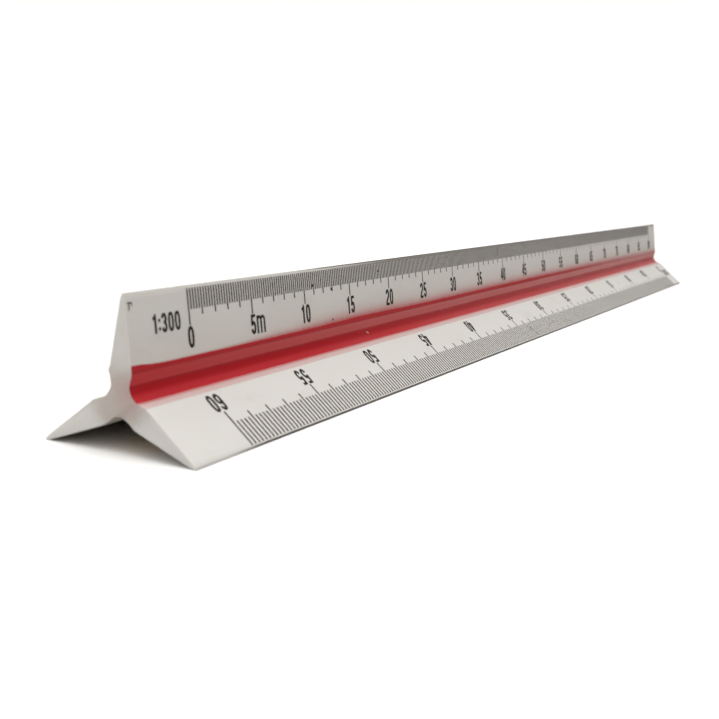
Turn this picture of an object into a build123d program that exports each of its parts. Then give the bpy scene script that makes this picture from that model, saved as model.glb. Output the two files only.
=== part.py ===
from build123d import *
import math
import os
from collections import namedtuple

os.makedirs("parts", exist_ok=True)

# Triangular scale ruler: one extruded bar with three tapered fins, a painted stripe in
# each of its three grooves, and six printed scales, one on each side of each fin.
# Millimetres. +X runs along the bar, -Y is the front, +Z is up through the top fin.
# The origin is at the middle of the bar, on the plane it rests on.

# ---- bar ----
BAR_LENGTH = 325.0
FACE_WIDTH = 25.0  # sharp corner to sharp corner of the bounding triangle
ROOT_RADIUS = 3.95  # fin root: distance from the bar's axis, along the fin
ROOT_HALF = 1.90  # fin root: half thickness
NOSE_LAND = 0.12  # blunt land on each corner, measured along the bounding side
NOSE_FLAT = 0.45  # end of the flat that lies in the bounding side
NOSE_TURN = 0.45  # length of the turn between that flat and the fin's face
NOSE_TURN_ANGLE = 19.0  # its slope from the fin's mid-plane, degrees
FLOOR_HALF = 1.12  # groove floor: half width
FLOOR_EDGE = 2.42  # groove floor: distance from the axis at its edges
FLOOR_DEEP = 2.15  # groove floor: distance from the axis at its middle
FLOOR_STEPS = 3  # chords in each half of the floor's arc

# ---- painted stripe ----
PAINT = 0.05
PAINT_UP = 0.65  # reach past the groove's first corner, on to the fin's face
PAINT_DOWN = 0.35  # reach past the floor, up the groove's far flank

# ---- printing ----
INK = 0.015
PRINT_START = 0.60  # outer end of every graduation, from the sharp corner
NEAR_MARGIN = 14.0  # from the bar's -X end to the start of the printed span
SPAN = 300.0
STROKE = 0.54
DIGIT_HEIGHT = 3.10
DIGIT_HALF = 0.75  # half width
DIGIT_GAP = 0.10  # from a long graduation's inner end to the top of a flat digit
RATIO_SHRINK = 0.87  # size of a ratio mark's lettering against the numerals
RATIO_GAP = 2.1  # from a ratio mark's end to the scale's zero

# Distances from the sharp corner, along the skin:
# inner ends of the fine, medium and long graduations, and the foot of the ratio mark
SHORT_REACH = (3.60, 4.50, 5.80, 6.15)
LONG_REACH = (4.90, 5.95, 6.90, 7.70)

TOP_FIN, FRONT_FIN, BACK_FIN = 0, 120, -120  # degrees a fin is turned from the top

# ratio: the N of 1:N
# steps: metres between fine, medium and long graduations; every long one is numbered
# line: graduation width
# front: the skin that faces the front before its fin is turned down from the top
Scale = namedtuple("Scale", "ratio steps reach line fin front")
SCALES = [
    Scale(300, (0.2, 1, 5), SHORT_REACH, 0.33, TOP_FIN, True),
    Scale(200, (0.2, 1, 5), LONG_REACH, 0.36, FRONT_FIN, False),
    Scale(250, (0.2, 1, 5), SHORT_REACH, 0.33, TOP_FIN, False),
    Scale(400, (0.5, 5, 10), SHORT_REACH, 0.36, BACK_FIN, True),
    Scale(100, (0.1, 0.5, 1), SHORT_REACH, 0.36, FRONT_FIN, True),
    Scale(500, (0.5, 5, 10), LONG_REACH, 0.36, BACK_FIN, False),
]


# ---- plane geometry ----
def turn(point, degrees):
    """The (y, z) point turned about the bar's axis; +120 takes the top fin to the front one."""
    angle = math.radians(degrees)
    y, z = point
    return (
        y * math.cos(angle) - z * math.sin(angle),
        y * math.sin(angle) + z * math.cos(angle),
    )


def along(start, direction, length):
    return (start[0] + direction[0] * length, start[1] + direction[1] * length)


def unit(start, end):
    length = math.dist(start, end)
    return ((end[0] - start[0]) / length, (end[1] - start[1]) / length)


def offset_run(points, distance):
    """The run of points moved to its right by the distance, with mitred corners."""
    normals = []
    for start, end in zip(points, points[1:]):
        direction = unit(start, end)
        normals.append((direction[1], -direction[0]))
    moved = []
    for k, point in enumerate(points):
        before = normals[max(k - 1, 0)]
        after = normals[min(k, len(normals) - 1)]
        factor = distance / (1 + before[0] * after[0] + before[1] * after[1])
        moved.append(along(point, (before[0] + after[0], before[1] + after[1]), factor))
    return moved


def film(points, thickness):
    """Closed outline of a film of even thickness laid on the outside of a run of skin points."""
    return list(points) + offset_run(points, thickness)[::-1]


def closed_face(points):
    return make_face(Polyline(*points, close=True))


# ---- section, in (y, z) about the bar's axis with the top fin up ----
COS_30 = math.sqrt(3) / 2
corner_radius = FACE_WIDTH / math.sqrt(3)
axis_height = corner_radius / 2

# front skin of the top fin, from the edge inward
nose_angle = math.radians(NOSE_TURN_ANGLE)
side_dir = (-0.5, -COS_30)
turn_dir = (-math.sin(nose_angle), -math.cos(nose_angle))
corner = (0.0, corner_radius)
land_end = along(corner, side_dir, NOSE_LAND)
flat_end = along(corner, side_dir, NOSE_FLAT)
face_top = along(flat_end, turn_dir, NOSE_TURN)
root = (-ROOT_HALF, ROOT_RADIUS)
face_dir = unit(face_top, root)

# floor of the front groove, an arc in chords
floor_sag = FLOOR_EDGE - FLOOR_DEEP
floor_arc_radius = (FLOOR_HALF**2 + floor_sag**2) / (2 * floor_sag)


def floor_point(across):
    """Point of the front groove's floor; across is + away from the top fin."""
    depth = FLOOR_DEEP + floor_arc_radius - math.sqrt(floor_arc_radius**2 - across**2)
    return (-COS_30 * depth - 0.5 * across, 0.5 * depth - COS_30 * across)


floor_points = [
    floor_point(FLOOR_HALF * k / FLOOR_STEPS) for k in range(-FLOOR_STEPS, FLOOR_STEPS + 1)
]

# a fin reaches from the middle of the back groove's floor to just short of the front's
fin_front = [land_end, flat_end, face_top, root] + floor_points[:FLOOR_STEPS]
fin_back = [(-y, z) for y, z in reversed(fin_front)]
floor_middle = floor_points[FLOOR_STEPS]
fin = [(-floor_middle[0], floor_middle[1])] + fin_back + fin_front
section = [turn(point, 120 * k) for k in range(3) for point in fin]

# a stripe covers the front groove, from the top fin's face to the front fin's flank
far_root = turn((ROOT_HALF, ROOT_RADIUS), 120)
stripe_run = (
    [along(root, face_dir, -PAINT_UP), root]
    + floor_points
    + [along(floor_points[-1], unit(floor_points[-1], far_root), PAINT_DOWN)]
)
stripe_outline = film(stripe_run, PAINT)


def skin(distance):
    """The point of the top fin's front skin at this distance from the sharp corner."""
    if distance <= NOSE_FLAT:
        return along(corner, side_dir, distance)
    if distance <= NOSE_FLAT + NOSE_TURN:
        return along(flat_end, turn_dir, distance - NOSE_FLAT)
    return along(face_top, face_dir, distance - NOSE_FLAT - NOSE_TURN)


# ---- glyph outlines: origin at the foot of the glyph, midway across; y up ----
OVAL_POINTS = 20
stroke_x = DIGIT_HALF - STROKE / 2  # centre line of an upright stroke
stroke_top = DIGIT_HEIGHT - STROKE / 2  # centre line of a top stroke
stroke_foot = STROKE / 2  # centre line of a foot stroke


def arc_run(center_x, center_y, radius_x, radius_y, start, end, steps):
    """Points of an elliptical arc in degrees, counter-clockwise when end > start."""
    angles = [math.radians(start + (end - start) * k / steps) for k in range(steps + 1)]
    return [
        (center_x + radius_x * math.cos(angle), center_y + radius_y * math.sin(angle))
        for angle in angles
    ]


def oval(center_y, radius_x, radius_y, power):
    """Face of a superellipse centred on x = 0; a power above 2 squares it up."""
    points = []
    for k in range(OVAL_POINTS):
        angle = 2 * math.pi * (k + 0.5) / OVAL_POINTS
        cosine, sine = math.cos(angle), math.sin(angle)
        x = radius_x * math.copysign(abs(cosine) ** (2 / power), cosine)
        y = radius_y * math.copysign(abs(sine) ** (2 / power), sine)
        points.append((x, center_y + y))
    return closed_face(points)


def ring(center_y, radius_x, radius_y, power):
    """Stroked oval, its radii on the centre line; a little thinner at top and bottom."""
    half = STROKE / 2
    outer = oval(center_y, radius_x + half, radius_y + half, power)
    return outer - oval(center_y, radius_x - half, radius_y - half * 0.9, power)


def ribbon(points, width=STROKE):
    """Stroke of even width along a centre line."""
    return closed_face(offset_run(points, -width / 2) + offset_run(points, width / 2)[::-1])


def rect(x0, y0, x1, y1):
    return closed_face([(x0, y0), (x1, y0), (x1, y1), (x0, y1)])


def six():
    bowl_y = 0.98
    hook = 0.72  # height of the top arc
    return ring(bowl_y, stroke_x, bowl_y - stroke_foot, 2.2) + ribbon(
        arc_run(0, stroke_top - hook, stroke_x, hook, 14, 180, 9)
        + [(-stroke_x, 1.6), (-stroke_x, bowl_y - 0.05)]
    )


def letter_m():
    def stem(x, height):
        return rect(x - 0.24, 0, x + 0.24, height)

    def arch(x):
        return ribbon(arc_run(x, 2.08, 0.50, 0.48, 165, 0, 6) + [(x + 0.5, 1.9)], 0.46)

    return stem(-1, 2.80) + stem(0, 2.30) + stem(1, 2.30) + arch(-0.5) + arch(0.5)


ONE_OUTLINE = [
    (-0.12, 0), (0.42, 0), (0.42, DIGIT_HEIGHT), (0.06, DIGIT_HEIGHT),
    (-0.10, 2.82), (-0.50, 2.60), (-0.50, 2.12), (-0.12, 2.28),
]  # fmt: skip
TWO_TAIL = [(0.47, 1.86), (0.30, 1.55), (-0.20, 0.98), (-0.45, 0.60), (-0.52, 0.22)]
SEVEN_LINE = [
    (-DIGIT_HALF, stroke_top), (0.53, stroke_top), (0.26, 1.95), (0.02, 1.00), (-0.10, 0),
]  # fmt: skip
FIVE_NECK = [(-0.70, 1.40), (-0.17, 1.40), (-0.06, stroke_top), (-0.56, DIGIT_HEIGHT - 0.02)]

glyphs = {
    "0": ring(DIGIT_HEIGHT / 2, stroke_x, stroke_top - DIGIT_HEIGHT / 2, 2.6),
    "1": closed_face(ONE_OUTLINE),
    "2": ribbon(arc_run(0, stroke_top - 0.66, stroke_x, 0.66, 176, 0, 9) + TWO_TAIL)
    + rect(-DIGIT_HALF, 0, DIGIT_HALF, STROKE * 0.95),
    "3": ribbon(arc_run(-0.02, stroke_top - 0.62, stroke_x - 0.03, 0.62, 172, -72, 10))
    + ribbon(arc_run(-0.02, 0.90, stroke_x, 0.90 - stroke_foot, 74, -172, 10))
    + rect(-0.22, 1.44, 0.16, 1.80),
    "4": ribbon([(0.28, DIGIT_HEIGHT - 0.02), (-0.58, 0.90)], STROKE * 0.95)
    + rect(0.12, 0, 0.12 + STROKE, DIGIT_HEIGHT)
    + rect(-DIGIT_HALF, 0.68, DIGIT_HALF + 0.04, 0.68 + STROKE * 0.9),
    "5": rect(-0.52, stroke_top - 0.21, 0.64, DIGIT_HEIGHT)
    + closed_face(FIVE_NECK)
    + ribbon(arc_run(-0.01, 1.04, stroke_x, 1.04 - stroke_foot, 150, -166, 14)),
    "6": six(),
    "7": ribbon(SEVEN_LINE),
    "8": ring(stroke_top - 0.64, stroke_x - 0.04, 0.64, 2.2)
    + ring(0.93, stroke_x, 0.93 - stroke_foot, 2.2),
    "9": Pos(0, DIGIT_HEIGHT) * Rot(0, 0, 180) * six(),
    "m": letter_m(),
    ":": rect(-0.25, 0.42, 0.25, 0.94) + rect(-0.25, 1.76, 0.25, 2.28),
}
# width each glyph takes up in a line of text
advance = {glyph: 1.76 for glyph in glyphs}
advance.update({"1": 1.60, "m": 2.74, ":": 0.78})

# each glyph as a film of ink standing on the XY plane
full_size = {glyph: extrude(face, INK) for glyph, face in glyphs.items()}
reduced_size = {
    glyph: extrude(scale(face, RATIO_SHRINK), INK) for glyph, face in glyphs.items()
}


# ---- placing print on the fins ----
def fin_frame(spec):
    """Takes print built on the top fin's front skin to the skin the scale is on."""
    frame = Pos(0, 0, axis_height) * Rot(spec.fin, 0, 0)
    return frame if spec.front else frame * Rot(0, 0, 180)


def face_place(spec, x, distance):
    """Placement on a fin's face: x in the reading direction, y towards the edge, z outward."""
    local = Plane(
        origin=(x, *skin(distance)),
        x_dir=(1, 0, 0),
        z_dir=(0, face_dir[1], -face_dir[0]),
    )
    return fin_frame(spec) * local.location


def zero_x(spec):
    """X of a scale's zero in its own turned frame."""
    if spec.front:
        return NEAR_MARGIN - BAR_LENGTH / 2
    return BAR_LENGTH / 2 - NEAR_MARGIN - SPAN


def lettering(text, size=1):
    """[(glyph, x of its middle)] for the text starting at x = 0, and the text's width."""
    x, letters = 0.0, []
    for glyph in text:
        letters.append((glyph, x + advance[glyph] * size / 2))
        x += advance[glyph] * size
    return letters, x


# ---- pieces ----
def write_extrusion(name, outline):
    """A (y, z) outline about the axis, run the full length of the bar."""
    with BuildPart() as piece:
        with BuildSketch(Plane.YZ.offset(-BAR_LENGTH / 2)):
            with BuildLine():
                Polyline(*[(y, z + axis_height) for y, z in outline], close=True)
            make_face()
        extrude(amount=BAR_LENGTH)
    piece.part.label = name
    export_step(piece.part, f"parts/{name}.step")


def write_print(name, solids):
    with BuildPart() as piece:
        add(solids, clean=False)
    piece.part.label = name
    export_step(piece.part, f"parts/{name}.step", write_pcurves=False)


def graduations(spec):
    """Lines that wrap the end of the nose turn and run down the face, shortest kind first."""
    fine, medium, long = spec.steps
    per_metre = 1000 / spec.ratio
    every_medium, every_long = round(medium / fine), round(long / fine)
    runs = {"fine": [], "medium": [], "long": []}
    for k in range(round(SPAN / (per_metre * fine)) + 1):
        if k % every_long == 0:
            kind = "long"
        elif k % every_medium == 0:
            kind = "medium"
        else:
            kind = "fine"
        runs[kind].append(zero_x(spec) + k * fine * per_metre)

    frame = fin_frame(spec)
    marks = []
    for (kind, places), end in zip(runs.items(), spec.reach):
        outline = film([skin(PRINT_START), face_top, skin(end)], INK)
        tick = extrude(Plane.YZ * closed_face(outline), amount=spec.line / 2, both=True)
        marks += [frame * Pos(x, 0, 0) * tick for x in places]
    return marks


def numerals(spec):
    """Metres under each long graduation, centred on it; the first after zero adds an m."""
    long_step = spec.steps[2]
    pitch = long_step * 1000 / spec.ratio
    foot = spec.reach[2] + DIGIT_GAP + DIGIT_HEIGHT
    digits = []
    for k in range(round(SPAN / pitch) + 1):
        text = str(k * long_step) + ("m" if k == 1 else "")
        letters, width = lettering(text)
        # with the m, it is the first digit that is centred
        shift = -advance[text[0]] / 2 if k == 1 else -width / 2
        start = zero_x(spec) + k * pitch + shift
        digits += [
            face_place(spec, start + x, foot) * full_size[glyph] for glyph, x in letters
        ]
    return digits


def ratio_mark(spec):
    """The scale's 1:N, set before its zero."""
    letters, width = lettering(f"1:{spec.ratio}", RATIO_SHRINK)
    start = zero_x(spec) - RATIO_GAP - width
    return [
        face_place(spec, start + x, spec.reach[3]) * reduced_size[glyph]
        for glyph, x in letters
    ]


write_extrusion("ruler_body", section)

# front, back and underside grooves
for colour, degrees in (("red", 0), ("green", -120), ("yellow", 120)):
    turned = [turn(point, degrees) for point in stripe_outline]
    write_extrusion(f"groove_stripe_{colour}", turned)

for spec in SCALES:
    write_print(f"graduations_1to{spec.ratio}", graduations(spec))
    write_print(f"numerals_1to{spec.ratio}", numerals(spec))
    write_print(f"ratio_mark_1to{spec.ratio}", ratio_mark(spec))
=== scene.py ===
"""A three-finned scale ruler, 325 mm long, lying on a pale floor.

The bar runs along X, from -HALF to HALF. Its section is worked out in mm as (y, z) about
the long axis, which lies AXIS_Z above the floor. One fin points straight up and the other
two rest on the floor. Between the fins are three grooves: red at the upper front (-Y),
green at the upper back (+Y) and yellow underneath.
"""
import math
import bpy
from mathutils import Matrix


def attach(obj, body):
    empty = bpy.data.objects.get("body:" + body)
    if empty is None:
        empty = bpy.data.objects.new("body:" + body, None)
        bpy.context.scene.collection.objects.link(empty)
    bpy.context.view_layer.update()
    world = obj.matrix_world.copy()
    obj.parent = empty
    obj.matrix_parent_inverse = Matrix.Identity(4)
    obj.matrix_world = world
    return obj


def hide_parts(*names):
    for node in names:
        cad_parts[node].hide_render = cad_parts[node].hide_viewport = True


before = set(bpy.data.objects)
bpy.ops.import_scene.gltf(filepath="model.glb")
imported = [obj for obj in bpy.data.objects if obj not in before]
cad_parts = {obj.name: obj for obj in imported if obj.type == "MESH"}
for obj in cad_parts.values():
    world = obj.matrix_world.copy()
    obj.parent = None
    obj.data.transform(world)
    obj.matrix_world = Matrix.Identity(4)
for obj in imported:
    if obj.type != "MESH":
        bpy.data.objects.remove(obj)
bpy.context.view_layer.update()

from types import SimpleNamespace

import bmesh
import bpy
from mathutils import Matrix, Vector, noise

scene = bpy.context.scene

# ---------------------------------------------------------------- dimensions, mm
MM = 0.001
LENGTH = 325.0
HALF = LENGTH / 2
TIP_SPACING = 25.0  # between the corners of two neighbouring fins
TIP_RADIUS = TIP_SPACING / math.sqrt(3)
AXIS_Z = TIP_RADIUS / 2
COS30 = math.sqrt(3) / 2
ROOT = (-1.90, 3.95)  # crease between the top fin's front face and the red groove

# groove floor: a shallow arc, lowest in the middle
FLOOR_HALF_WIDTH = 1.12
FLOOR_RISE = 0.27
FLOOR_OUT = 2.15  # middle of the floor to the long axis
FLOOR_POINTS = 9
FLOOR_RADIUS = (FLOOR_HALF_WIDTH**2 + FLOOR_RISE**2) / (2 * FLOOR_RISE)
LOWER_CREASE = (2.4712, 3.6205)  # far side of the red groove: across, out

# humps in the upper edge of the paint: centre x, width, height
PAINT_HUMPS = [(-92.0, 16.0, 0.24), (-15.0, 40.0, 0.12)]


def along(point, direction, distance):
    return (point[0] + direction[0] * distance, point[1] + direction[1] * distance)


def unit(start, end):
    size = math.hypot(end[0] - start[0], end[1] - start[1])
    return ((end[0] - start[0]) / size, (end[1] - start[1]) / size)


def normal_to(direction):
    """The outward normal of an outline walked anticlockwise."""
    return (direction[1], -direction[0])


def turn(point, degrees):
    angle = math.radians(degrees)
    y, z = point
    return (
        y * math.cos(angle) - z * math.sin(angle),
        y * math.sin(angle) + z * math.cos(angle),
    )


def groove(across, out):
    """A point in the red groove: across it, downwards, and out from the long axis."""
    return (-COS30 * out - 0.5 * across, 0.5 * out - COS30 * across)


def floor_point(k):
    across = -FLOOR_HALF_WIDTH + 2 * FLOOR_HALF_WIDTH * k / (FLOOR_POINTS - 1)
    return groove(across, FLOOR_OUT + FLOOR_RADIUS - math.sqrt(FLOOR_RADIUS**2 - across**2))


# front face of the top fin, from its corner down: two short facets, then the long face
CORNER = (0.0, TIP_RADIUS)
SIDE = (-0.5, -COS30)
BEVEL = (-math.sin(math.radians(19.0)), -math.cos(math.radians(19.0)))
TIP_EDGE = 0.12
FACET = 0.45
TIP_POINT = along(CORNER, SIDE, TIP_EDGE)
FACET_1 = along(CORNER, SIDE, FACET)
FACET_2 = along(FACET_1, BEVEL, FACET)
FACE = unit(FACET_2, ROOT)
FACE_OUT = normal_to(FACE)
FLOOR = [floor_point(k) for k in range(FLOOR_POINTS)]


def skin(distance):
    """The point at this distance from the corner, down the top fin's front face."""
    if distance <= FACET:
        return along(CORNER, SIDE, distance)
    if distance <= 2 * FACET:
        return along(FACET_1, BEVEL, distance - FACET)
    return along(FACET_2, FACE, distance - 2 * FACET)


# ---------------------------------------------------------------- shader graphs
def operator(kind, swapped=False):
    def apply(self, other):
        pair = (other, self) if swapped else (self, other)
        return self.graph.math(kind, *pair)

    return apply


class Value:
    """A node output. Arithmetic on it adds Math nodes to its graph."""

    def __init__(self, graph, socket):
        self.graph = graph
        self.socket = socket

    __add__, __radd__ = operator("ADD"), operator("ADD", swapped=True)
    __sub__, __rsub__ = operator("SUBTRACT"), operator("SUBTRACT", swapped=True)
    __pow__, __rpow__ = operator("POWER"), operator("POWER", swapped=True)
    __mul__, __truediv__ = operator("MULTIPLY"), operator("DIVIDE")
    maximum = operator("MAXIMUM")

    def absolute(self):
        return self.graph.math("ABSOLUTE", self)

    def centred(self, size):
        """Noise around 0.5 turned into a swing of this size around zero."""
        return (self - 0.5) * size

    def ramp(self, start, end, first=0.0, last=1.0, smooth=True):
        """Goes from first, where the value is start, to last, where it is end."""
        inputs = {
            "Value": self,
            "From Min": start,
            "From Max": end,
            "To Min": first,
            "To Max": last,
        }
        kind = "SMOOTHSTEP" if smooth else "LINEAR"
        return self.graph.node("MapRange", inputs, interpolation_type=kind, clamp=True)


class Graph:
    """A thin wrapper that makes node trees short to write."""

    def __init__(self, tree, output, coordinates):
        self.tree = tree
        tree.nodes.clear()
        self.output = tree.nodes.new("ShaderNodeOutput" + output)
        self.coords = self.node("TexCoord", output=coordinates)

    def put(self, socket, value):
        if isinstance(value, Value):
            self.tree.links.new(value.socket, socket)
        else:
            socket.default_value = (*value, 1.0) if socket.type == "RGBA" else value

    def node(self, kind, inputs=(), output=0, **settings):
        """Adds a node; inputs are a dict, or pairs of input key and value."""
        made = self.tree.nodes.new("ShaderNode" + kind)
        for name, setting in settings.items():
            setattr(made, name, setting)
        for key, value in dict(inputs).items():
            self.put(made.inputs[key], value)
        return Value(self, made.outputs[output])

    def finish(self, shader):
        self.put(self.output.inputs[0], shader)

    def math(self, kind, *operands, clamp=False):
        return self.node("Math", enumerate(operands), operation=kind, use_clamp=clamp)

    def vec(self, kind, *operands):
        output = "Value" if kind == "LENGTH" else 0
        return self.node("VectorMath", enumerate(operands), output, operation=kind)

    def xyz(self, vector):
        first = self.node("SeparateXYZ", {0: vector})
        return [Value(self, socket) for socket in first.socket.node.outputs]

    def scaled(self, along, across):
        """Coordinates times one factor along the bar and another across it, per metre."""
        return self.vec("MULTIPLY", self.coords, (along, across, across))

    def millimetres(self):
        return self.scaled(along=1000.0, across=1000.0)

    def noise_at(self, vector, detail=3.0, rough=0.55, distort=0.0):
        inputs = {
            "Vector": vector,
            "Scale": 1.0,
            "Detail": detail,
            "Roughness": rough,
            "Distortion": distort,
        }
        return self.node("TexNoise", inputs)

    def noise(self, along, across, detail=3.0, rough=0.55):
        return self.noise_at(self.scaled(along, across), detail, rough)

    def mix(self, base, colour, amount):
        return self.node("Mix", {0: amount, 6: base, 7: colour}, 2, data_type="RGBA")

    def bump(self, height, distance, strength, normal=None):
        inputs = {"Height": height, "Distance": distance, "Strength": strength}
        if normal is not None:
            inputs["Normal"] = normal
        return self.node("Bump", inputs)

    def camera_switch(self, unseen, seen):
        """One shader for light that bounces, another for what the camera sees."""
        camera_ray = self.node("LightPath", output="Is Camera Ray")
        return self.node("MixShader", enumerate((camera_ray, unseen, seen)))


def new_material(name):
    material = bpy.data.materials.new(name)
    material.use_nodes = True
    return material, Graph(material.node_tree, "Material", "Object")


# ---------------------------------------------------------------- white plastic
WHITE = (0.712, 0.692, 0.660)
CLOUD_WHITE = (0.690, 0.672, 0.638)
LINE_WHITE = (0.668, 0.645, 0.606)
SPECK_BROWN = (0.30, 0.27, 0.24)
GRIME = (0.47, 0.43, 0.38)
END_MOTTLE = (0.58, 0.56, 0.52)
END_HUB_GLOW = (0.50, 0.425, 0.385)
END_PALE = (0.830, 0.815, 0.795)
ROOT_SHADE = (0.520, 0.450, 0.405)
TOP_CORNER_DARK = (0.190, 0.168, 0.150)
TIP_SHADE = (0.058, 0.043, 0.035)
# red paint overspray on the plastic, also used for the painted red glow on the sawn ends
OVERSPRAY_AND_RED_GLOW = (0.46, 0.030, 0.038)
CREASE_SHADE = (0.40, 0.36, 0.33)
NEAR_E = 2.718  # base of the soft falls


def across_groove(y, height):
    return y * -0.5 + height * -COS30


def section_distance(g, place, y, z):
    """Distance in mm from the line along X through (y, z)."""
    flat = g.vec("MULTIPLY", place, (0.0, 1.0, 1.0))
    return g.vec("LENGTH", g.vec("SUBTRACT", flat, (0.0, y, z)))


def end_tone(g, at, tone):
    """The sawn ends: mottled; darker and pinker towards the middle of the section, a painted
    glow of red light scattered through the plastic; paler towards the bottom and the front.
    """
    mottle = g.noise(along=650.0, across=650.0, detail=4.0, rough=0.65)
    # painted glow: red light scattered through the plastic, darker and pinker towards the
    # middle of the end
    hub_glow = at.radius + mottle.centred(3.0)
    hub_glow = at.end * hub_glow.ramp(start=6.2, end=2.2)
    spots = at.end * mottle.ramp(start=0.35, end=0.7, last=0.22)
    tone = g.mix(tone, END_MOTTLE, amount=spots)
    tone = g.mix(tone, END_HUB_GLOW, amount=hub_glow * 0.62)
    pale = at.end * at.height.ramp(start=1.0, end=-4.5, first=0.32)
    pale = pale * at.y.ramp(start=7.0, end=-7.0, first=0.62) * (1.0 - hub_glow)
    return g.mix(tone, END_PALE, amount=pale)


def tip_tone(g, at, tone):
    """The blunt fin tips carry a dark line of painted shade along the nose, less of it near the
    -X end.
    """
    top_fin = at.height.ramp(start=-1.0, end=1.0)
    # x where the painted shade line sets in: later on the top fin, and a little later at the
    # back
    shift_top, onset_low, shift_back = 34.0, -152.0, 6.0
    onset = top_fin * shift_top + onset_low
    onset = onset + at.y.ramp(start=-2.0, end=2.0) * shift_back
    # switches the painted shade line on past the onset x
    worn = (at.x - onset).ramp(start=-4.0, end=8.0, first=0.22)
    patchy = g.noise(along=70.0, across=0.0, rough=0.6)
    rim = at.radius + at.fine.centred(0.10) + patchy.centred(0.10)
    # radius where the line starts, slightly less on the two lower fins
    rim_top, drop_low = 14.19, 0.10
    rim_start = rim_top - (1.0 - top_fin) * drop_low
    # a darker band just below the top fin's corner, growing from x -112 to -78
    top_corner_dark = rim.ramp(start=13.72, end=13.95) * at.height.ramp(start=2.0, end=4.0)
    top_corner_dark = top_corner_dark * at.x.ramp(start=-112.0, end=-78.0, first=0.10, last=0.86) * at.side
    tone = g.mix(tone, TOP_CORNER_DARK, amount=top_corner_dark)
    # painted shade: the dark line along each fin's nose
    line = (rim - rim_start).ramp(start=-0.05, end=0.05) * worn * at.side
    return g.mix(tone, TIP_SHADE, amount=line * 0.90)


def hump(x, centre, width, height):
    offset = (x - centre) / width
    return NEAR_E ** (offset * offset * -1.0) * height


def flank_spray(g, at, across, out):
    """Pink overspray on the red groove's lower flank."""
    edge = across + at.fine.centred(0.16)
    strip = edge.ramp(start=0.6, end=0.8) * across.ramp(start=2.49, end=2.44)
    strip = strip * out.ramp(start=1.6, end=1.9) * out.ramp(start=4.4, end=4.1) * at.side
    strength = edge.ramp(start=1.35, end=1.90, first=0.80, last=0.33)
    return g.math("MULTIPLY", strip, strength + at.fine.centred(0.22), clamp=True)


def face_spray(g, at):
    """Soft overspray that fades up the top fin's face from the edge of the paint."""
    wave = g.noise(along=90.0, across=0.0, detail=2.0)
    edge_over_root = 0.52
    first, second = (hump(at.x, *values) for values in PAINT_HUMPS)
    above = at.height - (first + second + (ROOT[1] + edge_over_root))
    # how far it reaches, mm: shortest at the -X end, varied by the wave
    reach = at.x.ramp(start=-HALF + 14.0, end=-HALF + 66.0, first=0.16, last=1.12)
    reach = reach - at.x.ramp(start=40.0, end=HALF, last=0.35)
    reach = reach * (0.80 + wave * 0.4)
    steepness = 1.3
    fall = (above / reach).maximum(0.0) ** steepness
    soft = NEAR_E ** (fall * -1.0) * above.ramp(start=-1.4, end=-1.0)
    soft = soft * at.y.ramp(start=-0.2, end=-0.5) * at.side
    strength = at.x.ramp(start=0.0, end=HALF, first=0.88, last=0.62)
    return g.math("MULTIPLY", soft, strength + at.fine.centred(0.5), clamp=True)


def groove_tone(g, at, tone):
    across = across_groove(at.y, at.height)
    out = at.y * -COS30 + at.height * 0.5
    spray = flank_spray(g, at, across, out) + face_spray(g, at)
    # painted glow: red light scattered through the plastic, on the sawn ends beside the groove
    near = section_distance(g, at.place, y=-1.9, z=AXIS_Z + 1.2)
    red_glow = at.end * near.ramp(start=4.2, end=0.3) * 0.20
    tone = g.mix(tone, OVERSPRAY_AND_RED_GLOW, amount=g.math("ADD", spray, red_glow, clamp=True))
    # painted shade: a grey hairline where the lower flank meets the face
    crease = (across - 2.50).absolute().ramp(start=0.09, end=0.03)
    crease = crease * out.ramp(start=3.3, end=3.5) * out.ramp(start=4.3, end=4.1) * at.side
    return g.mix(tone, CREASE_SHADE, amount=crease * 0.30)


def plastic_relief(g, at):
    """Drawing lines, faint scratches, saw marks on the ends and a fine orange peel."""
    stretched = g.vec("MULTIPLY", at.place, (0.05, 9.0, 9.0))
    scratch = g.noise_at(stretched, detail=1.0, rough=0.5, distort=0.4)
    scratch = scratch.ramp(start=0.70, end=0.74)
    normal = g.bump(at.lines, distance=0.00001, strength=0.55)
    normal = g.bump(scratch, distance=0.00001, strength=-0.5, normal=normal)
    stretched = g.vec("MULTIPLY", at.place, (0.3, 0.55, 7.0))
    saw = g.noise_at(stretched, detail=4.0, rough=0.6, distort=0.6)
    chips = g.noise(along=900.0, across=900.0, detail=4.0, rough=0.65)
    saw = at.end * (saw + chips * 0.5)
    normal = g.bump(saw, distance=0.00010, strength=0.8, normal=normal)
    peel = g.noise(along=450.0, across=450.0, detail=2.0)
    return g.bump(peel, distance=0.000006, strength=0.6, normal=normal)


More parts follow.
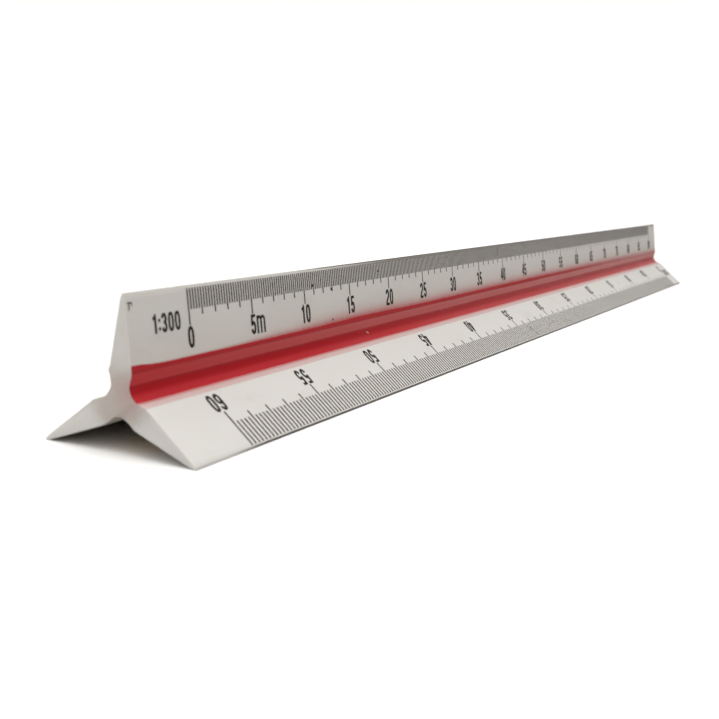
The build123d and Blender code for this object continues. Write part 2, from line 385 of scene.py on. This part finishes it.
def plastic():
    material, g = new_material("white_plastic")
    at = SimpleNamespace(place=g.millimetres())
    at.x, at.y, z = g.xyz(at.place)
    at.height = z - AXIS_Z
    facing_x = g.xyz(g.node("NewGeometry", output="Normal"))[0]
    at.end = facing_x.absolute().ramp(start=0.75, end=0.95)
    at.side = 1.0 - at.end
    at.radius = section_distance(g, at.place, y=0.0, z=AXIS_Z)
    at.lines = g.noise(along=8.0, across=5200.0, detail=2.0, rough=0.6)
    at.fine = g.noise(along=1400.0, across=1400.0, detail=4.0, rough=0.7)

    # slow clouds, extrusion lines along the bar, small specks
    clouds = g.noise(along=70.0, across=120.0)
    tone = g.mix(WHITE, CLOUD_WHITE, amount=clouds.ramp(start=0.3, end=0.7))
    tone = g.mix(tone, LINE_WHITE, amount=at.lines.ramp(start=0.35, end=0.75, last=0.14))
    cells = g.scaled(along=420.0, across=420.0)
    cells = g.node("TexVoronoi", {"Vector": cells, "Scale": 1.0}, "Distance")
    areas = g.noise(along=110.0, across=110.0, detail=2.0)
    speck = cells.ramp(start=0.055, end=0.025) * areas.ramp(start=0.56, end=0.60)
    tone = g.mix(tone, SPECK_BROWN, amount=speck * 0.6)
    # handling grime in soft patches
    grime = g.noise(along=110.0, across=230.0, detail=4.0, rough=0.62)
    grime = grime.ramp(start=0.52, end=0.80)
    tone = g.mix(tone, GRIME, amount=grime * 0.16)
    tone = end_tone(g, at, tone)
    # painted shade: the top fin is darker and browner towards its root
    root_shade = at.height.ramp(start=11.2, end=4.6, last=0.25)
    root_shade = root_shade * at.height.ramp(start=2.0, end=3.0) * at.side
    tone = g.mix(tone, ROOT_SHADE, amount=root_shade)
    tone = tip_tone(g, at, tone)
    tone = groove_tone(g, at, tone)

    rough = at.lines.ramp(start=0.3, end=0.8, first=0.38, last=0.52)
    rough = rough + grime * 0.10 + at.end * 0.22
    inputs = {
        "Base Color": tone,
        "Roughness": rough,
        "Normal": plastic_relief(g, at),
        "IOR": 1.49,
        "Subsurface Weight": 0.18,
        "Subsurface Radius": (1.0, 0.72, 0.5),
        "Subsurface Scale": 0.0008,
        "Specular IOR Level": 0.36,
    }
    g.finish(g.node("BsdfPrincipled", inputs))
    return material


# ---------------------------------------------------------------- paint and ink
# whitish colour of the painted sheen on the paint
SHEEN_WHITE = (0.72, 0.62, 0.58)
THIN_PAINT = (0.70, 0.66, 0.62)
FLOOR_SHEEN = (0.70, 0.62, 0.58)
PAINT_WEAR = (0.66, 0.50, 0.47)
# painted light: the flank's paint is a brighter copy of the main colour
BRIGHTEN = 1.24  # paint on the steep flank against the main colour
INK_WEAR = (0.21, 0.175, 0.150)
INK_HAZE = (0.66, 0.60, 0.54)


def coated(g, tone, rough, normal, specular):
    inputs = {
        "Base Color": tone,
        "Roughness": rough,
        "Normal": normal,
        "IOR": 1.5,
        "Specular IOR Level": specular,
    }
    g.finish(g.node("BsdfPrincipled", inputs))


def paint(name, degrees, colour, dark):
    """Groove paint; degrees turn the red groove on to the one painted."""
    material, g = new_material(name)
    # the place in the red groove's own frame, so one recipe serves all three
    angle = math.radians(-degrees)
    x, bar_y, z = g.xyz(g.millimetres())
    bar_height = z - AXIS_Z
    y = bar_y * math.cos(angle) - bar_height * math.sin(angle)
    height = bar_y * math.sin(angle) + bar_height * math.cos(angle)
    across = across_groove(y, height)
    brush = g.noise(along=14.0, across=2600.0, rough=0.6)
    patch = g.noise(along=55.0, across=420.0)
    grain = g.noise(along=2300.0, across=2300.0, rough=0.7)

    # painted shade: darker paint in the upper part of the floor and along the first crease
    wavy = across + patch.centred(0.7)
    floor_shade = wavy.ramp(start=-1.35, end=-1.0) * wavy.ramp(start=0.55, end=-0.05)
    crease = (across + 2.53).absolute().ramp(start=0.22, end=0.10)
    tone = g.mix(colour, dark, amount=brush.ramp(start=0.35, end=0.75, last=0.30))
    tone = g.mix(tone, dark, amount=floor_shade.maximum(crease) * 0.85)
    # painted shade: darker paint above the first crease, on the top fin's face
    tone = g.mix(tone, dark, amount=across.ramp(start=-2.46, end=-2.54) * 0.45)
    # the steep upper flank: a brighter copy of the paint as painted light, a whitish painted
    # sheen that grows towards the +X end, and a painted highlight just under the first crease;
    # thinner paint towards the +X end
    flank = across.ramp(start=-2.42, end=-2.30) * across.ramp(start=-1.12, end=-1.25)
    sheen_amount = x.ramp(start=-HALF + 5.0, end=110.0, last=0.42, smooth=False)
    ridge_highlight = across.ramp(start=-1.95, end=-2.35, last=0.05) * x.ramp(start=-120.0, end=-70.0)
    sheen_amount = sheen_amount + ridge_highlight
    bright = tuple(min(1.0, channel * BRIGHTEN) for channel in colour)
    tone = g.mix(tone, bright, amount=flank)
    painted_sheen = g.math("MULTIPLY", flank, sheen_amount + patch.centred(0.12), clamp=True)
    tone = g.mix(tone, SHEEN_WHITE, amount=painted_sheen)
    thin = across.ramp(start=-2.45, end=-2.60) * x.ramp(start=20.0, end=HALF, last=0.45)
    tone = g.mix(tone, THIN_PAINT, amount=thin)
    # the open floor is a cleaner, more even coat: less specular, with a whitish painted sheen
    # that grows towards the +X end
    lower = across.ramp(start=-1.20, end=-0.95)
    low_sheen = lower * x.ramp(start=-110.0, end=HALF - 20.0, last=0.15, smooth=False)
    tone = g.mix(tone, FLOOR_SHEEN, amount=low_sheen)
    wear = g.noise(along=700.0, across=700.0, detail=4.0, rough=0.7)
    worn_areas = g.noise(along=45.0, across=45.0, detail=2.0)
    wear = wear.ramp(start=0.72, end=0.77) * worn_areas.ramp(start=0.52, end=0.72)
    tone = g.mix(tone, PAINT_WEAR, amount=wear * 0.30)

    rough = patch.ramp(start=0.3, end=0.75, first=0.30, last=0.46)
    rough = rough + grain.ramp(start=0.4, end=0.7, first=-0.03, last=0.08) + painted_sheen * 0.6
    normal = g.bump(brush, distance=0.000012, strength=0.6)
    normal = g.bump(grain, distance=0.000007, strength=0.6, normal=normal)
    coated(g, tone, rough, normal, specular=0.24 - lower * 0.16)
    return material


def ink(name, deep, pale, worn, haze=0.0):
    """Printing ink; worn and haze are the strongest amounts of each."""
    material, g = new_material(name)
    blot = g.noise(along=2600.0, across=2600.0, rough=0.65)
    area = g.noise(along=55.0, across=140.0)
    tone = g.mix(deep, pale, amount=area.ramp(start=0.35, end=0.7))
    tone = g.mix(tone, INK_WEAR, amount=blot.ramp(start=0.60, end=0.74, last=worn))
    # the haze sets in away from the -X end
    x = g.xyz(g.millimetres())[0]
    tone = g.mix(tone, INK_HAZE, amount=x.ramp(start=-60.0, end=10.0, last=haze))
    rough = blot.ramp(start=0.35, end=0.7, first=0.45, last=0.66)
    normal = g.bump(blot, distance=0.000005, strength=0.6)
    coated(g, tone, rough, normal, specular=0.14)
    return material


# hue: turn from the red groove in degrees, colour, dark colour, seed of the edges
PAINTS = {
    "red": (0, (0.460, 0.020, 0.027), (0.385, 0.010, 0.015), 1.0),
    "green": (-120, (0.018, 0.230, 0.085), (0.011, 0.150, 0.055), 31.0),
    "yellow": (120, (0.740, 0.420, 0.028), (0.580, 0.300, 0.018), 63.0),
}

M_WHITE = plastic()
M_PAINT = {
    hue: paint(f"{hue}_paint", degrees, colour, dark)
    for hue, (degrees, colour, dark, _) in PAINTS.items()
}
M_INK = ink(
    "printing_ink", deep=(0.042, 0.028, 0.020), pale=(0.064, 0.045, 0.034), worn=0.45, haze=0.05
)
M_INK_BOLD = ink(
    "printing_ink_bold", deep=(0.020, 0.013, 0.009), pale=(0.034, 0.023, 0.017), worn=0.25
)


# ---------------------------------------------------------------- geometry helpers
def new_object(name, verts, faces, material, sharp=28.0):
    """A smooth-shaded mesh from mm; edges over the sharp angle in degrees stay hard."""
    mesh = bpy.data.meshes.new(name)
    mesh.from_pydata([tuple(c * MM for c in v) for v in verts], [], faces)
    bm = bmesh.new()
    bm.from_mesh(mesh)
    bmesh.ops.recalc_face_normals(bm, faces=bm.faces)
    bm.to_mesh(mesh)
    bm.free()
    mesh.polygons.foreach_set("use_smooth", [True] * len(mesh.polygons))
    mesh.set_sharp_from_angle(angle=math.radians(sharp))
    mesh.materials.append(material)
    mesh.update()
    made = bpy.data.objects.new(name, mesh)
    scene.collection.objects.link(made)
    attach(made, "root")
    return made


def tube_faces(rings, size, start=0):
    """Faces of a closed tube of equal rings, capped at both ends."""
    faces = []
    for i in range(rings - 1):
        a = start + i * size
        b = a + size
        for j in range(size):
            k = (j + 1) % size
            faces.append((a + j, a + k, b + k, b + j))
    last = start + (rings - 1) * size
    faces.append(tuple(range(start, start + size)))
    faces.append(tuple(reversed(range(last, last + size))))
    return faces


def prism_faces(size, start=0):
    """Faces of a flat piece: lower outline, upper outline, then the rim."""
    top = start + size
    faces = [tuple(reversed(range(start, top))), tuple(range(top, top + size))]
    for j in range(size):
        k = (j + 1) % size
        faces.append((start + j, start + k, top + k, top + j))
    return faces


def rounded(points, radii, steps=4):
    """The closed polygon with each corner eased by its radius."""
    out = []
    for k, (corner, radius) in enumerate(zip(points, radii)):
        before, after = points[k - 1], points[(k + 1) % len(points)]
        to_before, to_after = unit(corner, before), unit(corner, after)
        cosine = to_before[0] * to_after[0] + to_before[1] * to_after[1]
        half = math.acos(max(-1.0, min(1.0, cosine))) / 2
        if radius <= 0 or half > math.radians(89.0):
            out.append(corner)
            continue
        # the curve takes at most 0.45 of either neighbouring side
        room = 0.45 * min(math.dist(corner, before), math.dist(corner, after))
        cut = min(radius / math.tan(half), room)
        start, end = along(corner, to_before, cut), along(corner, to_after, cut)
        for j in range(steps + 1):
            u = j / steps
            out.append(
                tuple(
                    (1 - u) ** 2 * s + 2 * u * (1 - u) * c + u * u * e
                    for s, c, e in zip(start, corner, end)
                )
            )
    return out


def split(points, longest):
    """The closed outline with its long straight runs cut into shorter ones."""
    out = []
    for a, b in zip(points, points[1:] + points[:1]):
        n = max(1, math.ceil(math.dist(a, b) / longest))
        out += [(a[0] + (b[0] - a[0]) * k / n, a[1] + (b[1] - a[1]) * k / n) for k in range(n)]
    return out


# ---------------------------------------------------------------- the bar
def section():
    """The bar's outline, anticlockwise: one fin, from floor to floor, turned three times."""
    middle = FLOOR_POINTS // 2
    front = [TIP_POINT, FACET_1, FACET_2, ROOT] + FLOOR[:middle]
    front_radii = [0.05, 0.5, 1.2, 0.16, 0.14] + [0.0] * (middle - 1)
    back = [(-y, z) for y, z in reversed(front)]
    fin = [(-FLOOR[middle][0], FLOOR[middle][1])] + back + front
    radii = [0.0] + front_radii[::-1] + front_radii
    outline = [turn(point, 120 * k) for k in range(3) for point in fin]
    return split(rounded(outline, radii * 3), longest=0.7)


def inset(point, amount):
    """Moves a section point inwards, towards the mid-plane of its own fin."""
    arm = max(range(3), key=lambda k: turn(point, -120 * k)[1])
    side, out = turn(point, -120 * arm)
    moved = side - math.copysign(min(amount, abs(side) * 0.45), side)
    if out > TIP_RADIUS - 1.2:
        out -= amount * 1.2
    elif out < 3.0:
        out -= amount
    return turn((moved, out), 120 * arm)


# rings near a sawn end: distance from the end, inset, raggedness
END_RINGS = [
    (0.0, 0.11, 1.0),
    (0.03, 0.05, 0.9),
    (0.11, 0.0, 0.7),
    (0.25, 0.0, 0.42),
    (0.45, 0.0, 0.15),
]
FAR_RAGGED = 0.7  # raggedness of the +X end against the -X end
BAR_STEPS = 130
ROUGH_CORE, ROUGH_FIN = 0.085, 0.022  # unevenness inside and outside CORE_RADIUS
CORE_RADIUS = 4.8
# small burrs left by the saw at the -X end: section point, reach, width
BURRS = [
    ((1.15, -3.05), 0.50, 0.34),
    ((2.45, 1.05), 0.22, 0.45),
    ((1.70, 3.90), 0.20, 0.40),
    ((-0.9, -2.45), 0.16, 0.30),
]


def sawn_push(y, z, ragged, far):
    """How far the sawn edge stands out at this point of the section."""
    size = ROUGH_CORE if math.hypot(y, z) < CORE_RADIUS else ROUGH_FIN
    uneven = noise.noise(Vector((y * 1.9, z * 1.9, 9.0 * far)))
    uneven += 0.6 * noise.noise(Vector((y * 5.3, z * 5.3, 4.0 + 9.0 * far)))
    push = size * ragged * uneven
    if not far:
        for centre, reach, width in BURRS:
            push += reach * ragged * math.exp(-((math.dist((y, z), centre) / width) ** 2))
    return push


def bar():
    outline = section()
    size = len(outline)
    outward = [
        normal_to(unit(outline[j - 1], outline[(j + 1) % size])) for j in range(size)
    ]
    # x, inset, raggedness, whether at the +X end
    stations = [(-HALF + d, cut, ragged, 0) for d, cut, ragged in END_RINGS]
    stations += [(-HALF + LENGTH * k / BAR_STEPS, 0.0, 0.0, 0) for k in range(1, BAR_STEPS)]
    stations += [
        (HALF - d, cut, ragged * FAR_RAGGED, 1) for d, cut, ragged in reversed(END_RINGS)
    ]
    verts = []
    for x, cut, ragged, far in stations:
        for (y, z), direction in zip(outline, outward):
            point = inset((y, z), cut) if cut else (y, z)
            if ragged:
                point = along(point, direction, sawn_push(y, z, ragged, far))
            verts.append((x, point[0], max(point[1] + AXIS_Z, 0.0)))
    faces = tube_faces(len(stations), size)
    return new_object("ruler_bar", verts, faces, M_WHITE, sharp=24.0)


body = bar()
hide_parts("ruler_body")


# ---------------------------------------------------------------- painted stripes
FILM_STEP = 0.5
FILM_SINK = 0.02  # underside of the film below the bar's skin
FILM_EDGE = 0.004  # thickness at the feathered edges
END_GAP = 0.35  # the green and yellow films stop short of the ends


def wander(x, seed, size, scale):
    slow = noise.noise(Vector((x * scale, seed, 0.0)))
    return size * (slow + 0.5 * noise.noise(Vector((x * scale * 3.1, seed + 7.0, 0.0))))


def film_edges(x, seed):
    """How far the film climbs above the first crease, and up the far flank."""
    up = 0.57 + sum(
        height * math.exp(-(((x - centre) / width) ** 2))
        for centre, width, height in PAINT_HUMPS
    )
    up += wander(x, seed, 0.06, 0.12) + wander(x, seed + 3, 0.04, 1.3)
    up += 0.42 * math.exp(-(((x + HALF) / 5.0) ** 2))
    down = 0.31 + wander(x, seed + 11, 0.09, 0.10) + wander(x, seed + 17, 0.085, 1.1)
    return up, down


def film_ring(up, down, thick):
    """The film's closed outline in the red groove: underside, then top, back again."""
    rise = unit(FLOOR[-1], groove(*LOWER_CREASE))
    run = [along(ROOT, FACE, -up), along(ROOT, FACE, -up * 0.8), ROOT]
    run += [along(ROOT, unit(ROOT, FLOOR[0]), 0.9)]
    run += FLOOR
    run += [along(FLOOR[-1], rise, down * 0.75), along(FLOOR[-1], rise, down)]
    last = len(run) - 1
    normals = [normal_to(unit(a, b)) for a, b in zip(run, run[1:])]
    thickness = {0: FILM_EDGE, 1: thick * 0.75, 2: thick * 0.8}
    thickness.update({last - 1: thick * 0.75, last: FILM_EDGE})
    low, high = [], []
    for k, point in enumerate(run):
        a, b = normals[max(k - 1, 0)], normals[min(k, last - 1)]
        stretch = 1 / (1 + a[0] * b[0] + a[1] * b[1])
        mitre = ((a[0] + b[0]) * stretch, (a[1] + b[1]) * stretch)
        low.append(along(point, mitre, -FILM_SINK))
        high.append(along(point, mitre, thickness.get(k, thick)))
    return low + high[::-1]


def stripe(hue, degrees, seed):
    """A film of paint with wandering, feathered edges laid in one groove."""
    steps = int(LENGTH / FILM_STEP)
    verts = []
    for i in range(steps + 1):
        x = -HALF + LENGTH * i / steps
        at_end = i in (0, steps)
        if at_end and degrees != 0:
            x -= math.copysign(END_GAP, x)
        up, down = film_edges(x, seed)
        thick = 0.040 + wander(x, seed + 29, 0.006, 0.2)
        if at_end:
            thick *= 0.7
        ring = film_ring(up, down, thick)
        for point in ring:
            y, z = turn(point, degrees)
            verts.append((x, y, z + AXIS_Z))
    faces = tube_faces(steps + 1, len(ring))
    film = new_object(f"{hue}_paint_film", verts, faces, M_PAINT[hue], sharp=20.0)
    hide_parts(f"groove_stripe_{hue}")


for hue, (degrees, _, _, seed) in PAINTS.items():
    stripe(hue, degrees, seed)

# ---------------------------------------------------------------- printing
for name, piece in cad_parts.items():
    if name.startswith(("graduations", "numerals", "ratio_mark")):
        piece.data.materials.clear()
        piece.data.materials.append(M_INK if name.startswith("grad") else M_INK_BOLD)

# ---------------------------------------------------------------- marks of use
# spots on the top fin's front face: x, distance from the corner, half sizes of each
END_SMUDGE = [
    (-HALF + 1.02, 1.50, 0.58, 0.12),
    (-HALF + 0.80, 1.95, 0.14, 0.38),
    (-HALF + 1.40, 1.80, 0.12, 0.12),
    (-HALF + 0.74, 2.42, 0.12, 0.10),
]
SPECKS = [
    (-105.8, 9.35, 0.30, 0.16),
    (-112.3, 2.95, 0.34, 0.26),
    (-105.5, 4.05, 0.32, 0.26),
    (-86.2, 2.20, 0.22, 0.16),
    (-31.0, 2.60, 0.30, 0.18),
]
# turn in degrees, side (-1 mirrors y), start x and distance, end x and distance, width
STRAY_LINES = [
    (0, 1, -18.35, 0.95, -18.60, 2.90, 0.46),
    (120, -1, -16.9, 3.55, -16.2, 1.10, 0.40),
]


def blob(centre_x, centre_down, half_x, half_down, seed, count):
    """Vertices of a small irregular spot on the top fin's front face."""
    rim = []
    for k in range(count):
        angle = 2 * math.pi * k / count
        cos, sin = math.cos(angle), math.sin(angle)
        r = 1.0 + 0.38 * noise.noise(Vector((cos * 1.7, sin * 1.7, seed)))
        rim.append((centre_x + half_x * r * cos, centre_down + half_down * r * sin))
    verts = []
    for lift in (-0.01, 0.012):
        for x, down in rim:
            y, z = along(skin(down), FACE_OUT, lift)
            verts.append((x, y, z + AXIS_Z))
    return verts


def smudges(name, spots, count=18):
    verts, faces = [], []
    for k, spot in enumerate(spots):
        faces += prism_faces(count, len(verts))
        verts += blob(*spot, 3.7 * k + 1.0, count)
    new_object(name, verts, faces, M_INK)


def hairlines(name, lines, steps=8, thick=0.021):
    """Thin stray lines of ink across the graduations."""
    verts, faces = [], []
    for degrees, side, x0, down0, x1, down1, width in lines:
        faces += tube_faces(steps + 1, 4, len(verts))
        half = width / 2
        for k in range(steps + 1):
            u = k / steps
            x = x0 + (x1 - x0) * u
            point = skin(down0 + (down1 - down0) * u)
            for dx, lift in ((-half, 0.0), (half, 0.0), (half, thick), (-half, thick)):
                y, z = along(point, FACE_OUT, lift)
                y, z = turn((y * side, z), degrees)
                verts.append((x + dx, y, z + AXIS_Z))
    new_object(name, verts, faces, M_INK_BOLD)


def fleck(centre_x=-91.6, count=10):
    """A pale fleck of dust lying on the paint of the front groove."""
    direction = unit(FLOOR[2], FLOOR[4])
    verts = []
    for lift in (0.02, 0.085):
        for k in range(count):
            angle = 2 * math.pi * k / count
            cos, sin = math.cos(angle), math.sin(angle)
            r = 1.0 + 0.3 * noise.noise(Vector((cos, sin, 5.0)))
            point = along(FLOOR[3], direction, 0.10 * r * sin + 0.22 * cos)
            y, z = along(point, normal_to(direction), lift)
            verts.append((centre_x + 0.38 * r * cos, y, z + AXIS_Z))
    new_object("dust_fleck", verts, prism_faces(count), M_WHITE)


smudges("ink_smudge", END_SMUDGE)
hairlines("stray_ink_lines", STRAY_LINES)
fleck()
smudges("ink_specks", SPECKS)

# ---------------------------------------------------------------- stage
BOUNCE = 0.50  # brightness of the floor as the bar sees it
BACKDROP = {"Color": (1.0, 1.0, 1.0), "Strength": 1.02}


def floor_material():
    """Pale paper: full brightness to the camera, a weaker bounce on to the object."""
    material, g = new_material("floor_paper")
    cloud = g.noise(along=3.0, across=3.0)
    tone = g.mix((0.93, 0.93, 0.925), (0.95, 0.95, 0.945), amount=cloud)
    paper = g.node("BsdfDiffuse", {"Color": tone})
    dull = g.node("BsdfDiffuse", {"Color": (BOUNCE, BOUNCE * 0.975, BOUNCE * 0.94)})
    # the paper fades into the bright background far from the object, in metres
    far = g.vec("LENGTH", g.coords).ramp(start=0.30, end=1.6)
    faded = g.node("MixShader", enumerate((far, paper, g.node("Emission", BACKDROP))))
    g.finish(g.camera_switch(unseen=dull, seen=faded))
    return material


def studio_world():
    """Light from above, dimmer at the front, stronger at the -X end."""
    world = bpy.data.worlds.new("studio")
    scene.world = world
    world.use_nodes = True
    g = Graph(world.node_tree, "World", "Generated")
    x, y, z = g.xyz(g.coords)
    overhead_power, overhead, ambient = 1.5, 1.75, 0.10
    front_dimming, left_gain = 0.55, 0.26
    up = z.maximum(0.0)
    sky = up**overhead_power * overhead + ambient
    sky = sky * (1.0 - (y * -1.0).maximum(0.0) * front_dimming)
    sky = sky + (x * -1.0).maximum(0.0) * left_gain
    tint = g.mix((1.0, 0.965, 0.925), (1.0, 0.998, 0.992), amount=up)
    light = g.node("Background", {"Color": tint, "Strength": sky})
    g.finish(g.camera_switch(unseen=light, seen=g.node("Background", BACKDROP)))


bpy.ops.mesh.primitive_plane_add(size=14.0, location=(0, 0, 0))
floor = bpy.context.object
floor.name = "studio_floor"
floor.data.materials.append(floor_material())
studio_world()

key_light = bpy.data.lights.new("key", "AREA")
key_light.shape = "RECTANGLE"
key_light.size, key_light.size_y = 0.9, 0.7
key_light.energy = 4.0
key_light.color = (1.0, 0.998, 0.992)
key = bpy.data.objects.new("key", key_light)
scene.collection.objects.link(key)
key.location = (-0.25, -0.35, 1.1)
key_aim = Vector((-0.05, 0, 0))
key.rotation_euler = (key_aim - Vector(key.location)).to_track_quat("-Z", "Y").to_euler()

# ---------------------------------------------------------------- camera
lens = bpy.data.cameras.new("camera")
camera = bpy.data.objects.new("camera", lens)
scene.collection.objects.link(camera)
scene.camera = camera
position = Vector((-0.279191, -0.090566, 0.040964))
forward = Vector((0.88702, 0.42592, -0.17830)).normalized()
down = Vector((-0.13368, -0.13272, -0.98210))
right = down.cross(forward).normalized()
up = right.cross(forward).normalized()
rotation = Matrix((right, up, -forward)).transposed()
camera.matrix_world = Matrix.Translation(position) @ rotation.to_4x4()
lens.sensor_width = 36.0
lens.sensor_fit = "HORIZONTAL"
lens.lens = 56.45491
lens.clip_start = 0.01
lens.clip_end = 50.0
target = bpy.data.objects.new("focus_point", None)
target.location = (-0.072, -0.003, 0.012)
scene.collection.objects.link(target)
lens.dof.use_dof = True
lens.dof.focus_object = target
lens.dof.aperture_fstop = 60.0

scene.view_settings.view_transform = "Standard"
scene.view_settings.look = "None"
scene.view_settings.exposure = 0.0
scene.view_settings.gamma = 1.0
